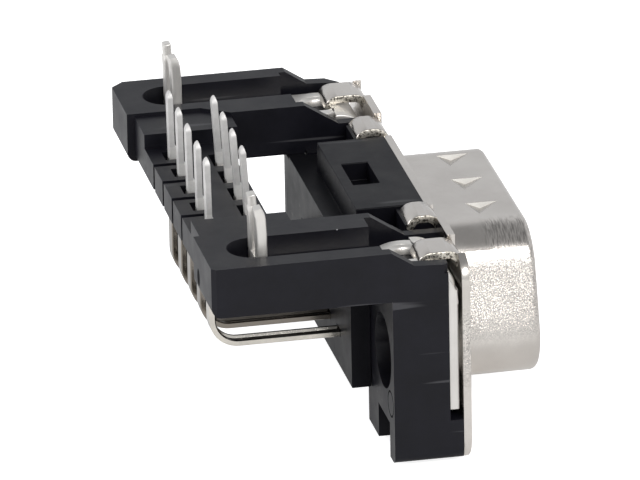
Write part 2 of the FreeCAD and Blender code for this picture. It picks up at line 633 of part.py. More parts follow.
def boardlock(label, sign):
    """Steel board lock: plate behind the flange, bent strap with an eye, forked end."""
    body = new_body(label)
    middle = sign + HOLE_X
    fork_front = "(fork_y - strap_thick / 2)"
    fork_rear = "(fork_y + strap_thick / 2)"
    plate_inner = "(%s - plate_width / 2)" % HOLE_X
    plate_outer = "(%s + plate_width / 2)" % HOLE_X

    # Wide bend from the plate over into the strap's level
    bend_outer = "(lane_outer - play)"
    bend_end = STRAP_TOP + " - strap_bend - fork_foot"
    bend = new_sketch(body, "bend_side", "YZ_Plane", "%s(%s + %s) / 2" % (sign, plate_inner, bend_outer))
    add_polygon(bend, [("plate_front_y", STRAP_TOP), ("plate_front_y", bend_end),
                       (PLATE_REAR_Y, bend_end), (PLATE_REAR_Y, STRAP_BOTTOM),
                       ("shoulder_y", STRAP_BOTTOM), ("shoulder_y", STRAP_TOP)])
    extrude(body, "Pad", "bend", bend, "%s - %s" % (bend_outer, plate_inner), side="Symmetric")
    round_edges(body, "outer_bend", "strap_bend",
                lambda edge: runs_along_x(edge) and close(edge.BoundBox.ZMax, value(STRAP_TOP))
                and close(edge.BoundBox.YMax, value("plate_front_y")))
    round_edges(body, "inner_bend", "strap_bend - strap_thick",
                lambda edge: runs_along_x(edge) and close(edge.BoundBox.ZMax, value(STRAP_BOTTOM))
                and close(edge.BoundBox.YMax, value(PLATE_REAR_Y)))
    plate = new_sketch(body, "plate_outline", "XZ_Plane", "-plate_front_y")
    add_box(plate, sign + plate_inner, sign + plate_outer, "plate_bottom", STRAP_TOP + " - strap_bend")
    extrude(body, "Pad", "plate", plate, "strap_thick", reverse=True)

    # Flat strap and the round eye that widens it
    strap = new_sketch(body, "strap_plan", "XY_Plane", STRAP_TOP)
    add_box(strap, middle + " - strap_width / 2", middle + " + strap_width / 2",
            "plate_front_y + strap_bend", fork_rear)
    extrude(body, "Pad", "strap", strap, "strap_thick", reverse=True)
    disc = new_sketch(body, "eye_plan", "XY_Plane", STRAP_TOP)
    add_circle(disc, sign + "eye_x", "eye_y", "eye_radius")
    extrude(body, "Pad", "eye", disc, "strap_thick", reverse=True)
    hole = new_sketch(body, "eye_hole_plan", "XY_Plane")
    add_circle(hole, sign + "eye_x", "eye_y", "eye_hole")
    extrude(body, "Pocket", "eye_hole", hole, "1 - (%s)" % STRAP_BOTTOM)
    dress_edges(body, "Chamfer", "eye_bevel", "eye_bevel",
                lambda edge: close(edge.BoundBox.XLength, value("2 * eye_hole"))
                and close(edge.BoundBox.ZMin, value(STRAP_TOP)))

    # The strap turns up and splits in two prongs that bow to spring in the board.
    upright = new_sketch(body, "upright_side", "YZ_Plane", middle)
    add_box(upright, fork_front, fork_rear, STRAP_BOTTOM, "0")
    extrude(body, "Pad", "upright", upright, "strap_width", side="Symmetric")
    round_edges(body, "fork_bend", "fork_bend",
                lambda edge: runs_along_x(edge) and close(edge.BoundBox.ZMax, value(STRAP_BOTTOM))
                and close(edge.BoundBox.YMax, value(fork_rear)))
    shift = "(strap_width - prong_width) / 2"
    for name, side, lean in (("far_prong", " + ", "far_lean"), ("near_prong", " - ", "near_lean")):
        path = [("0", "-fork_foot"), ("0", "fork_foot"), (lean + " / 4", "fork_knee"),
                (lean + " * 3 / 4", "fork_top - fork_tip"), (lean, "fork_top")]
        prong = new_sketch(body, name + "_side", "YZ_Plane", middle + side + shift)
        add_polygon(prong, [("%s + %s" % (fork_rear, y), z) for y, z in path]
                    + [("%s + %s" % (fork_front, y), z) for y, z in reversed(path)])
        extrude(body, "Pad", name, prong, "prong_width", side="Symmetric")
    gap = new_sketch(body, "fork_gap", "XZ_Plane", "-(fork_y - strap_thick)")
    add_box(gap, middle + " - strap_width / 2 + prong_width", middle + " + strap_width / 2 - prong_width",
            "-fork_foot - 0.3", "fork_top + 1")
    extrude(body, "Pocket", "fork", gap, "2 * strap_thick + 1")
    bore = new_sketch(body, "plate_hole", "XZ_Plane")
    add_circle(bore, middle, CENTRE_Z, "hole_dia / 2")
    extrude(body, "Pocket", "plate_bore", bore, PLATE_REAR_Y + " + 1")
    return body


def threaded_insert(label, sign):
    """Brass insert behind the plate; the fine thread is left out of its bore."""
    body = new_body(label)
    ring = new_sketch(body, "ring", "XZ_Plane", "-(%s + play)" % PLATE_REAR_Y)
    add_circle(ring, sign + HOLE_X, CENTRE_Z, "insert_dia / 2")
    extrude(body, "Pad", "sleeve", ring, "insert_length - %s" % PLATE_REAR_Y, reverse=True)
    bore = new_sketch(body, "thread_bore", "XZ_Plane")
    add_circle(bore, sign + HOLE_X, CENTRE_Z, "insert_bore / 2")
    extrude(body, "Pocket", "bore", bore, "insert_length + 2")
    return body


bodies = [front_shell(), front_insulator(), rear_insulator(), bracket()]
wide_row = [(x, WIDE_ROW_Z, "rear_tail_y") for x in WIDE_ROW_X]
narrow_row = [(x, NARROW_ROW_Z, FRONT_TAIL_Y) for x in NARROW_ROW_X]
for number, (x, row_z, tail_y) in enumerate(wide_row + narrow_row, start=1):
    bodies.append(contact(number, x, row_z, tail_y))
for side, sign in (("far", ""), ("near", "-")):
    bodies.append(boardlock("boardlock_" + side, sign))
    bodies.append(threaded_insert("threaded_insert_" + side, sign))
doc.recompute()

faults = [item.Name for item in doc.Objects if "Invalid" in item.State or "Error" in item.State]
faults += [body.Label for body in bodies
           if body.Shape.isNull() or not body.Shape.isValid() or len(body.Shape.Solids) != 1]
if faults:
    raise RuntimeError("faulty: " + ", ".join(faults))
for body in bodies:
    body.Shape.exportStep("parts/%s.step" % body.Label)
    print(body.Label, round(body.Shape.Volume, 2), "mm3")
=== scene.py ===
"""Right-angle d-sub plug on a white table, seen from its near end, a little from behind and above.

Lengths are written in the connector's own millimetres: x along its length, y rearwards from the
flange's front face, z up from the plane of the circuit board.  to_table sets them on the table.
"""

import bmesh
import bpy
import numpy as np
from mathutils import Matrix


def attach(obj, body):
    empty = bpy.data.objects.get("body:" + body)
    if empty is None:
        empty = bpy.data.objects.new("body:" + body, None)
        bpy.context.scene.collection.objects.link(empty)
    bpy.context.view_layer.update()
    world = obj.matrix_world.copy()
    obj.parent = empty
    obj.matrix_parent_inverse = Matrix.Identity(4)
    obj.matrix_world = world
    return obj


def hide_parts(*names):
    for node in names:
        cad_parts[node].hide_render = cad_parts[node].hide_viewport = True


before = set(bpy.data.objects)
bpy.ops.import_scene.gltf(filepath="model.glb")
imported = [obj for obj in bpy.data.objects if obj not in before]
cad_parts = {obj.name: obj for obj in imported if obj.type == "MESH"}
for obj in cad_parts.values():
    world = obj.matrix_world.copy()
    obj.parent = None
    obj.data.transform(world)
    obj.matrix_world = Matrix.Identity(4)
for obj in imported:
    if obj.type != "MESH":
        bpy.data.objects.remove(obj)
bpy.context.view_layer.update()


# Black mouldings
# The bracket and the two insulators are glass-filled polyester, pushed on behind the flange.  They
# keep their own solids and gain the small edge radius of a moulded part; the surface has a soft
# sheen with dust, faint rubbing marks and, on the bracket, the marks that the mould's pins left.

def new_finish(slot):
    """Node material with its shader and a helper that adds linked nodes."""
    material = bpy.data.materials.new(slot)
    material.use_nodes = True
    tree = material.node_tree
    shader = tree.nodes["Principled BSDF"]

    def add(kind, inputs=(), **settings):
        node = tree.nodes.new(kind)
        for key, setting in settings.items():
            setattr(node, key, setting)
        for key, source in dict(inputs).items():
            if isinstance(source, bpy.types.NodeSocket):
                tree.links.new(source, node.inputs[key])
            else:
                node.inputs[key].default_value = source
        return node

    return material, tree, shader, add


# From the connector's millimetres to the table: its middle over the origin, its lower edge down.
stand = np.array([0.0, -4.61, 13.27])


def to_table(points):
    """Connector millimetres to metres above the table: (point + stand) / 1000."""
    return (np.asarray(points, float) + stand) * 0.001


def plastic_finish(slot, tone, rough, gloss, dents=(), rings=()):
    """Black moulding.  dents and rings hold (centre, half sizes) in the connector's millimetres.

    A mark's reach is |(place - centre) / half size|: a dent fills it up to 1 and a ring is the band
    from 0.84 to 1.  Both are darker, duller and lower than the face around them.
    """
    material, tree, shader, add = new_finish(slot)
    where = add("ShaderNodeTexCoord").outputs["Object"]
    cloud = add("ShaderNodeTexNoise", {"Vector": where, "Scale": 420.0, "Detail": 6.0,
                                       "Roughness": 0.62})
    tint = add("ShaderNodeValToRGB", {"Fac": cloud.outputs["Fac"]})
    tint.color_ramp.elements[0].position = 0.36
    tint.color_ramp.elements[0].color = tuple(0.8 * v for v in tone) + (1,)
    tint.color_ramp.elements[1].position = 0.72
    tint.color_ramp.elements[1].color = tuple(1.3 * v for v in tone) + (1,)

    # Dust: small round grains in a few of the cells of a random lattice.
    cells = add("ShaderNodeTexVoronoi", {"Vector": where, "Scale": 1100.0})
    near = add("ShaderNodeMath", {0: cells.outputs["Distance"], 1: 0.05}, operation="LESS_THAN")
    pick = add("ShaderNodeSeparateColor", {"Color": cells.outputs["Color"]})
    rare = add("ShaderNodeMath", {0: pick.outputs["Red"], 1: 0.965}, operation="GREATER_THAN")
    speck = add("ShaderNodeMath", {0: near.outputs["Value"], 1: rare.outputs["Value"]},
                operation="MULTIPLY")
    # Rubbing marks: thin crests of a noise drawn out along the length.
    drawn = add("ShaderNodeMapping", {"Vector": where, "Scale": (900.0, 110.0, 2300.0),
                                      "Rotation": (0.0, 0.0, 0.25)})
    rub = add("ShaderNodeTexNoise", {"Vector": drawn.outputs["Vector"], "Scale": 1.0, "Detail": 1.0})
    crest = add("ShaderNodeMapRange", {"Value": rub.outputs["Fac"], "From Min": 0.70,
                                       "From Max": 0.76, "To Max": 0.12})
    worn = add("ShaderNodeMath", {0: speck.outputs["Value"], 1: crest.outputs["Result"]},
               operation="MAXIMUM")
    dusty = add("ShaderNodeMix", {"Factor": worn.outputs["Value"], "A": tint.outputs["Color"],
                                  "B": (0.36, 0.36, 0.38, 1)}, data_type="RGBA")
    colour = dusty.outputs["Result"]

    fine = add("ShaderNodeTexNoise", {"Vector": where, "Scale": 5200.0, "Detail": 3.0})
    depth = 0.0
    for deep, marks in ((True, dents), (False, rings)):
        for centre, half in marks:
            per_metre = (1000 / np.asarray(half)).tolist()
            apart = add("ShaderNodeVectorMath", {0: where, 1: to_table(centre).tolist()},
                        operation="SUBTRACT")
            scaled = add("ShaderNodeVectorMath", {0: apart.outputs["Vector"], 1: per_metre},
                         operation="MULTIPLY")
            reach = add("ShaderNodeVectorMath", {0: scaled.outputs["Vector"]}, operation="LENGTH")
            if deep:
                mask = add("ShaderNodeMapRange", {"Value": reach.outputs["Value"], "From Min": 1.0,
                                                  "From Max": 0.8}).outputs["Result"]
            else:
                mask = add("ShaderNodeMath", {0: reach.outputs["Value"], 1: 0.92, 2: 0.08},
                           operation="COMPARE").outputs["Value"]
            darker = tuple(0.35 * v for v in tone) + (1,)
            shade = add("ShaderNodeMix", {"Factor": mask, "A": colour, "B": darker}, data_type="RGBA")
            colour = shade.outputs["Result"]
            depth = add("ShaderNodeMath", {0: mask, 1: -1.0, 2: depth},
                        operation="MULTIPLY_ADD").outputs["Value"]
    tree.links.new(colour, shader.inputs["Base Color"])
    sheen = add("ShaderNodeMapRange", {"Value": cloud.outputs["Fac"], "From Min": 0.3, "From Max": 0.7,
                                       "To Min": rough * 0.85, "To Max": rough * 1.15})
    dulled = add("ShaderNodeMath", {0: depth, 1: -0.6, 2: sheen.outputs["Result"]},
                 operation="MULTIPLY_ADD")
    tree.links.new(dulled.outputs["Value"], shader.inputs["Roughness"])
    shader.inputs["Specular IOR Level"].default_value = gloss
    bump = add("ShaderNodeBump", {"Strength": 0.16, "Distance": 0.00001, "Height": fine.outputs["Fac"]})
    if dents or rings:
        bump = add("ShaderNodeBump", {"Strength": 0.8, "Distance": 0.00008, "Height": depth,
                                      "Normal": bump.outputs["Normal"]})
    tree.links.new(bump.outputs["Normal"], shader.inputs["Normal"])
    return material


def brass_finish(slot):
    """Turned brass: yellow metal with fine turning marks around the bore."""
    material, tree, shader, add = new_finish(slot)
    where = add("ShaderNodeTexCoord").outputs["Object"]
    turned = add("ShaderNodeMapping", {"Vector": where, "Scale": (300.0, 6000.0, 300.0)})
    marks = add("ShaderNodeTexNoise", {"Vector": turned.outputs["Vector"], "Scale": 1.0, "Detail": 2.0})
    tint = add("ShaderNodeMix", {"Factor": marks.outputs["Fac"], "A": (0.50, 0.36, 0.16, 1),
                                 "B": (0.66, 0.50, 0.25, 1)}, data_type="RGBA")
    tree.links.new(tint.outputs["Result"], shader.inputs["Base Color"])
    shader.inputs["Metallic"].default_value = 1.0
    shader.inputs["Roughness"].default_value = 0.3
    bump = add("ShaderNodeBump", {"Strength": 0.2, "Distance": 0.00001, "Height": marks.outputs["Fac"]})
    tree.links.new(bump.outputs["Normal"], shader.inputs["Normal"])
    return material


# Painted shade: the insulators take a darker, less glossy copy of the bracket's black, for the shade of
# the leg and arms they sit in.
black = plastic_finish("black_insulator", (0.0036, 0.0036, 0.0058), 0.42, 0.15)
# Two long pin marks in the near arm's rear face, a small one on its top, a ring on the near leg.
pin_marks = [((-9.2, 14.87, -1.9), (0.34, 0.2, 0.6)), ((-11.4, 14.87, -1.95), (0.38, 0.2, 0.55)),
             ((-9.6, 12.25, 0.0), (0.12, 0.16, 0.1))]
leg_ring = [((-14.4, 4.5, -9.55), (0.8, 0.8, 0.8))]
marked = plastic_finish("black_bracket", (0.0057, 0.0057, 0.0090), 0.40, 0.21,
                        dents=pin_marks, rings=leg_ring)
brass = brass_finish("brass_insert")
for name, finish, edge in (("bracket", marked, 0.09), ("front_insulator", black, 0.06),
                           ("rear_insulator", black, 0.07), ("threaded_insert_far", brass, 0.05),
                           ("threaded_insert_near", brass, 0.05)):
    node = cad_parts[name]
    node.data.materials.clear()
    node.data.materials.append(finish)
    weld = node.modifiers.new("weld", "WELD")
    weld.merge_threshold = 0.000002
    bevel = node.modifiers.new("moulded edge", "BEVEL")
    bevel.width = edge * 0.001
    bevel.segments = 2
    bevel.limit_method = "ANGLE"
    bevel.angle_limit = np.radians(35)
    bevel.harden_normals = True
    bevel.use_clamp_overlap = True


# Steel shell: skirt
# One drawn piece of nickel-plated steel with the flange.  Its section runs from the flange's root
# radius along the outside, over the rolled rim and back inside; its outline is four corner arcs.
# Three lances on each broad side are sheared along one edge and pressed in, to grip the mating shell.

def metal_finish(slot, light, dark, rough, grain, lumps, metallic=1.0, drawn=False):
    """Plated metal: cloudy tint, uneven polish and orange-peel grain of so many lumps to the metre.

    drawn adds the skirt's marks: streaks round the near bend and coarse sparkle on the near flank,
    each faded in by where it lies: fade = clamp((position - start) / (end - start)).
    """
    material, tree, shader, add = new_finish(slot)
    where = add("ShaderNodeTexCoord").outputs["Object"]
    cloud = add("ShaderNodeTexNoise", {"Vector": where, "Scale": 260.0, "Detail": 5.0,
                                       "Roughness": 0.6})
    tint = add("ShaderNodeValToRGB", {"Fac": cloud.outputs["Fac"]})
    tint.color_ramp.elements[0].position = 0.35
    tint.color_ramp.elements[0].color = dark + (1,)
    tint.color_ramp.elements[1].position = 0.68
    tint.color_ramp.elements[1].color = light + (1,)
    colour = tint.outputs["Color"]
    shader.inputs["Metallic"].default_value = metallic
    polish = add("ShaderNodeMapRange", {"Value": cloud.outputs["Fac"], "From Min": 0.3, "From Max": 0.7,
                                        "To Min": rough * 0.75, "To Max": rough * 1.3})
    tree.links.new(polish.outputs["Result"], shader.inputs["Roughness"])
    peel = add("ShaderNodeTexNoise", {"Vector": where, "Scale": lumps, "Detail": 3.0,
                                      "Roughness": 0.6})
    height = peel.outputs["Fac"]
    if drawn:
        place = add("ShaderNodeSeparateXYZ", {"Vector": where})

        def fade(axis, start, end):
            """Rise from 0 to 1 between two object coordinates in metres."""
            return add("ShaderNodeMapRange", {"Value": place.outputs[axis], "From Min": start,
                                              "From Max": end}).outputs["Result"]

        def product(first, second):
            return add("ShaderNodeMath", {0: first, 1: second}, operation="MULTIPLY").outputs["Value"]

        streaks = add("ShaderNodeMapping", {"Vector": where, "Scale": (1800.0, 13000.0, 2200.0)})
        streak = add("ShaderNodeTexNoise", {"Vector": streaks.outputs["Vector"], "Scale": 1.0,
                                            "Detail": 3.0})
        bend = product(product(fade("X", -0.0050, -0.0060), fade("Z", 0.0088, 0.0098)),
                       fade("Y", -0.0072, -0.0077))
        dim = add("ShaderNodeMapRange", {"Value": streak.outputs["Fac"], "From Min": 0.36,
                                         "From Max": 0.6, "To Min": 0.62, "To Max": 1.15})
        lined = add("ShaderNodeMix", {"Factor": bend, "A": colour, "B": dim.outputs["Result"]},
                    data_type="RGBA", blend_type="MULTIPLY")
        colour = lined.outputs["Result"]
        coarse = add("ShaderNodeTexNoise", {"Vector": where, "Scale": 11000.0, "Detail": 2.0,
                                            "Roughness": 0.7})
        flank = product(product(fade("X", -0.0062, -0.0070), fade("Z", 0.0040, 0.0062)),
                        fade("Z", 0.0098, 0.0088))
        sparkle = add("ShaderNodeMapRange", {"Value": coarse.outputs["Fac"], "From Min": 0.38,
                                             "From Max": 0.62, "To Min": 0.66, "To Max": 1.22})
        grained = add("ShaderNodeMix", {"Factor": flank, "A": colour, "B": sparkle.outputs["Result"]},
                      data_type="RGBA", blend_type="MULTIPLY")
        colour = grained.outputs["Result"]
        height = add("ShaderNodeMath", {0: product(coarse.outputs["Fac"], flank), 1: 11.0, 2: height},
                     operation="MULTIPLY_ADD").outputs["Value"]
        height = add("ShaderNodeMath", {0: product(streak.outputs["Fac"], bend), 1: 3.0, 2: height},
                     operation="MULTIPLY_ADD").outputs["Value"]
    tree.links.new(colour, shader.inputs["Base Color"])
    bump = add("ShaderNodeBump", {"Strength": grain, "Distance": 0.00001, "Height": height})
    tree.links.new(bump.outputs["Normal"], shader.inputs["Normal"])
    return material


def torn_finish(slot):
    """Sheared steel edge: bright and black crumbs of torn plate over grey metal."""
    material, tree, shader, add = new_finish(slot)
    where = add("ShaderNodeTexCoord").outputs["Object"]
    crumbs = add("ShaderNodeTexNoise", {"Vector": where, "Scale": 5200.0, "Detail": 3.0,
                                        "Roughness": 0.7})
    tint = add("ShaderNodeValToRGB", {"Fac": crumbs.outputs["Fac"]})
    tint.color_ramp.elements[0].position = 0.40
    tint.color_ramp.elements[0].color = (0.07, 0.06, 0.05, 1)
    tint.color_ramp.elements[1].position = 0.52
    tint.color_ramp.elements[1].color = (0.74, 0.70, 0.62, 1)
    tree.links.new(tint.outputs["Color"], shader.inputs["Base Color"])
    shader.inputs["Metallic"].default_value = 0.85
    shader.inputs["Roughness"].default_value = 0.35
    bump = add("ShaderNodeBump", {"Strength": 0.8, "Distance": 0.00003, "Height": crumbs.outputs["Fac"]})
    tree.links.new(bump.outputs["Normal"], shader.inputs["Normal"])
    return material


def outwards(mesh):
    """Turn the faces of a closed mesh so that they all look out of it."""
    shape = bmesh.new()
    shape.from_mesh(mesh)
    bmesh.ops.recalc_face_normals(shape, faces=shape.faces)
    shape.to_mesh(mesh)
    shape.free()


def from_table(points):
    """Metres above the table back to connector millimetres: 1000 point - stand."""
    return np.asarray(points, float) * 1000 - stand


def smooth_mesh(name, points, faces, node, finish, sharp, others=(), creases=None):
    """Closed mesh that stands for one node, smooth except across edges of more than sharp degrees.

    others holds (finish, test) pairs: a face whose centre and normal pass the test takes that
    finish.  An edge whose two ends pass creases stays sharp as well.
    """
    mesh = bpy.data.meshes.new(name)
    mesh.from_pydata(to_table(points).tolist(), [], faces)
    mesh.validate()
    outwards(mesh)
    mesh.shade_smooth()
    mesh.set_sharp_from_angle(angle=np.radians(sharp))
    mesh.materials.append(finish)

    def values(items, key, count, kind=float):
        """One attribute of every vertex, edge or face, as rows of an array."""
        flat = np.empty(len(items) * count, kind)
        items.foreach_get(key, flat)
        return flat.reshape(-1, count)

    if creases is not None:
        ends = from_table(values(mesh.vertices, "co", 3))[values(mesh.edges, "vertices", 2, np.int32)]
        sharp_edges = values(mesh.edges, "use_edge_sharp", 1, bool)[:, 0]
        mesh.edges.foreach_set("use_edge_sharp", sharp_edges | creases(ends).all(axis=1))
    chosen = np.zeros(len(mesh.polygons), np.int32)
    for number, (other, test) in enumerate(others, start=1):
        mesh.materials.append(other)
        centres, normals = values(mesh.polygons, "center", 3), values(mesh.polygons, "normal", 3)
        chosen[test(from_table(centres), normals)] = number
    mesh.polygons.foreach_set("material_index", chosen)
    piece = bpy.data.objects.new(name, mesh)
    bpy.context.scene.collection.objects.link(piece)
    even = piece.modifiers.new("flat faces stay flat", "WEIGHTED_NORMAL")
    even.keep_sharp = True
    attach(piece, "root")
    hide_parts(node)


def ring_quads(rings, around, closed=False):
    """Quads between neighbouring rings; rings that end are capped by one face each."""
    i, j = np.meshgrid(np.arange(rings if closed else rings - 1), np.arange(around), indexing="ij")
    k = (j + 1) % around
    n = (i + 1) % rings
    quads = np.stack([i * around + j, i * around + k, n * around + k, n * around + j], -1).reshape(-1, 4)
    faces = quads.tolist()
    if not closed:
        faces.append(np.arange(around)[::-1].tolist())
        faces.append((np.arange(around) + (rings - 1) * around).tolist())
    return faces


def as_mesh(source, cutters=()):
    """Points and faces of an object once its curve is filled and the cutters are taken away."""
    for cutter in cutters:
        cut = source.modifiers.new("cut", "BOOLEAN")
        cut.operation = "DIFFERENCE"
        cut.object = cutter
    bpy.context.view_layer.update()
    finished = source.evaluated_get(bpy.context.evaluated_depsgraph_get())
    result = bpy.data.meshes.new_from_object(finished)
    points = np.empty(len(result.vertices) * 3)
    result.vertices.foreach_get("co", points)
    faces = [list(face.vertices) for face in result.polygons]
    for item in (source, *cutters):
        bpy.data.objects.remove(item)
    return points.reshape(-1, 3), faces


top, flange_tall, sheet = -0.72, 12.55, 0.48
centre_z = top - flange_tall / 2
slant = np.radians(10)
half_low, half_tall = 9.0, 9.16 / 2
corner = 2.6


def d_outline(inset, steps=14):
    """Rounded d at some inset: each corner's arc about a centre that all insets share.

    A point of an arc is centre + (corner - inset) (cos t, sin t).
    """
    lean = np.degrees(slant)
    spans = np.radians([[lean, 90], [90, 180 - lean], [180 - lean, 270], [270, 360 + lean]])
    low, high = -half_tall + corner, half_tall - corner

    def side(z):
        """Line of the centres: half_low - (z + half_tall) tan(slant) - corner / cos(slant)."""
        return half_low - (z + half_tall) * np.tan(slant) - corner / np.cos(slant)

    centres = np.array([[side(high), high], [-side(high), high], [-side(low), low], [side(low), low]])
    turn = spans[:, :1] + (spans[:, 1:] - spans[:, :1]) * np.linspace(0, 1, steps)
    u = centres[:, :1] + (corner - inset) * np.cos(turn)
    v = centres[:, 1:] + (corner - inset) * np.sin(turn)
    return np.column_stack([u.ravel(), v.ravel()])


def scratch_object(name, points, faces):
    """Loose closed object in millimetres, only for cutting."""
    mesh = bpy.data.meshes.new(name)
    mesh.from_pydata(np.asarray(points).tolist(), [], faces)
    outwards(mesh)
    piece = bpy.data.objects.new(name, mesh)
    bpy.context.scene.collection.objects.link(piece)
    return piece


nickel = metal_finish("plated_shell", (0.70, 0.665, 0.625), (0.60, 0.565, 0.53), 0.21, 0.5, 4200.0,
                      drawn=True)
torn_edge = torn_finish("torn_edge")
quarter = np.radians(np.linspace(0, 90, 8))
root, rim, lead, wall, depth = 0.45, 0.40, 0.3, 0.4, 5.65
# (inset, y) around the wall: root radius, outside, rim, inside, rounded lead at the flange's rear.
profile = np.concatenate([
    [[-root, sheet], [-root, 0.0]],
    np.column_stack([-root * (1 - np.sin(quarter)), -root * (1 - np.cos(quarter))])[1:],
    np.column_stack([rim * (1 - np.cos(quarter)), -depth + rim * (1 - np.sin(quarter))]),
    [[wall, -depth + 0.05], [wall, 0.0]],
    np.column_stack([wall - lead * (1 - np.cos(quarter)), sheet - lead * (1 - np.sin(quarter))])])
rings = np.stack([np.insert(d_outline(inset), 1, y, axis=1) for inset, y in profile])
# The mouth stands a little back at the top: y' = y (1 - 0.03 (z / half_tall)) above the middle.
set_back = 1 - 0.03 * np.clip(rings[..., 2] / half_tall, 0, 1)
rings[..., 1] *= np.where(rings[..., 1] < -1, set_back, 1)
rings[..., 2] += centre_z
skirt = scratch_object("skirt", rings.reshape(-1, 3),
                       ring_quads(len(profile), rings.shape[1], closed=True))

# Each lance is cut by a wedge: three-cornered from 0.3 mm outside down to the skirt's face, and
# from there to one deep point close by the sheared edge.
lance_steps, lance_pitch = np.array([-1, 0, 1]), 3.93
lance_y, lance_half, lance_long, lance_deep = -3.45, 0.95, 1.8, 0.38
sheared_x = 1.2
wedge_faces = [[2, 1, 0], [0, 1, 4, 3], [1, 2, 5, 4], [2, 0, 3, 5], [3, 4, 6], [4, 5, 6], [5, 3, 6]]
lances = []
for step in lance_steps:
    for up in (1, -1):
        x, z = lance_pitch * step + sheared_x, centre_z + up * half_tall
        plan = np.array([[x, lance_y - lance_half], [x, lance_y + lance_half],
                         [x - lance_long, lance_y + 0.5]])
        above = np.column_stack([plan, np.full(3, z + up * 0.3)])
        level = np.column_stack([plan, np.full(3, z - up * 0.01)])
        deep = [[x - 0.02, lance_y + 0.08, z - up * lance_deep]]
        lances.append(scratch_object("lance", np.concatenate([above, level, deep]), wedge_faces))
points, faces = as_mesh(skirt, lances)


def on_lance(spots):
    """True for spots within the reach of a lance, with 0.01 to 0.1 mm to spare."""
    x, y, z = np.moveaxis(spots, -1, 0)
    middles = lance_pitch * lance_steps + sheared_x - lance_long / 2
    nearest = np.abs(x[..., None] - middles).min(axis=-1)
    below = np.abs(half_tall - np.abs(z - centre_z))
    return ((below < lance_deep + 0.01) & (np.abs(y - lance_y) < lance_half + 0.02)
            & (nearest < lance_long / 2 + 0.1))


def pressed_in(spots):
    """True for spots on a lance that lie 0.05 to 0.3 mm below the skirt's outside."""
    below = half_tall - np.abs(spots[..., 2] - centre_z)
    return on_lance(spots) & (below > 0.05) & (below < 0.3)


# Painted highlight on a real cut: the sheared wall of each lance, facing the near end, is bare steel
# painted nearly white and barely metallic, so the lamp lights it white.
cut_wall_highlight = metal_finish("cut_wall_highlight", (0.97, 0.95, 0.91), (0.90, 0.88, 0.84), 0.5, 0.2, 4200.0,
                         metallic=0.15)
# Painted shade: the pressed-in facets of the lances take a darker copy of the shell's nickel.
lance_flap_shade = metal_finish("lance_flap_shade", (0.47, 0.45, 0.43), (0.40, 0.385, 0.37), 0.4, 0.3, 4200.0)
smooth_mesh("skirt", points, faces, "front_shell", nickel, sharp=50, creases=on_lance,
            others=[(lance_flap_shade, lambda centre, normal: pressed_in(centre)),
                    (cut_wall_highlight, lambda centre, normal: pressed_in(centre) & (normal[:, 0] < -0.8))])


# Steel shell: flange and ears
# The flange is one flat blank with the d opening and two screw holes, behind which lie the board
# locks.  Its top edge dips between the inner ears, and four ears fold rearwards over the bracket;
# their sides are sheared, so they show torn plate.

def arc(x, z, r, start, stop, steps=9):
    """Points of an arc in a flat blank's own plane."""
    turn = np.radians(np.linspace(start, stop, steps))
    return np.column_stack([x + r * np.cos(turn), z + r * np.sin(turn)])


def blank(loops, thick, edge):
    """Flat sheet cut to closed loops, the first one outside, with its cut edges broken."""
    curve = bpy.data.curves.new("blank", "CURVE")
    curve.dimensions = "2D"
    curve.fill_mode = "BOTH"
    curve.extrude = thick / 2 - edge
    curve.bevel_depth = edge
    curve.bevel_resolution = 1
    curve.offset = -edge
    for loop in loops:
        spline = curve.splines.new("POLY")
        spline.points.add(len(loop) - 1)
        flat = np.column_stack([loop, 0 * loop[:, 0], 0 * loop[:, 0] + 1])
        spline.points.foreach_set("co", flat.ravel())
        spline.use_cyclic_u = True
    item = bpy.data.objects.new("blank", curve)
    bpy.context.scene.collection.objects.link(item)
    return as_mesh(item)


bottom, half_long, plate_corner = top - flange_tall, 30.81 / 2, 1.6
screw_x, screw_r = 12.495, 3.05 / 2
inner_ear_x, outer_ear_x, notch_half = 7.1, 12.88, 1.35
notch_low = top - 0.95
# The top edge from the middle outwards: down into the notch of each ear and up again.
inner_notch, outer_notch = ((x - notch_half, x + notch_half) for x in (inner_ear_x, outer_ear_x))
right_edge = np.array([[inner_notch[0], top - 0.38], [inner_notch[0], notch_low],
                       [inner_notch[1], notch_low], [inner_notch[1], top],
                       [outer_notch[0], top], [outer_notch[0], notch_low],
                       [outer_notch[1], notch_low], [outer_notch[1], top - 0.12]])
arc_x, high, low = half_long - plate_corner, top - plate_corner, bottom + plate_corner
outline = np.concatenate([right_edge, arc(arc_x, high, plate_corner, 74, 0),
                          arc(arc_x, low, plate_corner, 0, -90),
                          arc(-arc_x, low, plate_corner, -90, -180),
                          arc(-arc_x, high, plate_corner, 180, 106), right_edge[::-1] * [-1, 1]])
holes = [arc(x, centre_z, screw_r, 0, 348.75, 32) for x in (screw_x, -screw_x)]
opening = d_outline(-root + 0.02) + [0, centre_z]
points, faces = blank([outline, opening, *holes], sheet, 0.05)
smooth_mesh("flange", np.column_stack([points[:, 0], sheet / 2 + points[:, 2], points[:, 1]]), faces,
            "front_shell", nickel, sharp=35)


def rounded_section(half_wide, half_thick, radius):
    """Rounded rectangle: at each corner a quarter turn about the corner's own centre."""
    turn = np.radians([[0, 45, 90]]) + np.radians([[0], [90], [180], [270]])
    signs = np.array([[1, 1], [-1, 1], [-1, -1], [1, -1]], float)
    centre = signs * [half_wide - radius, half_thick - radius]
    across = centre[:, :1] + radius * np.cos(turn)
    through = centre[:, 1:] + radius * np.sin(turn)
    return np.stack([across.ravel(), through.ravel()], -1)


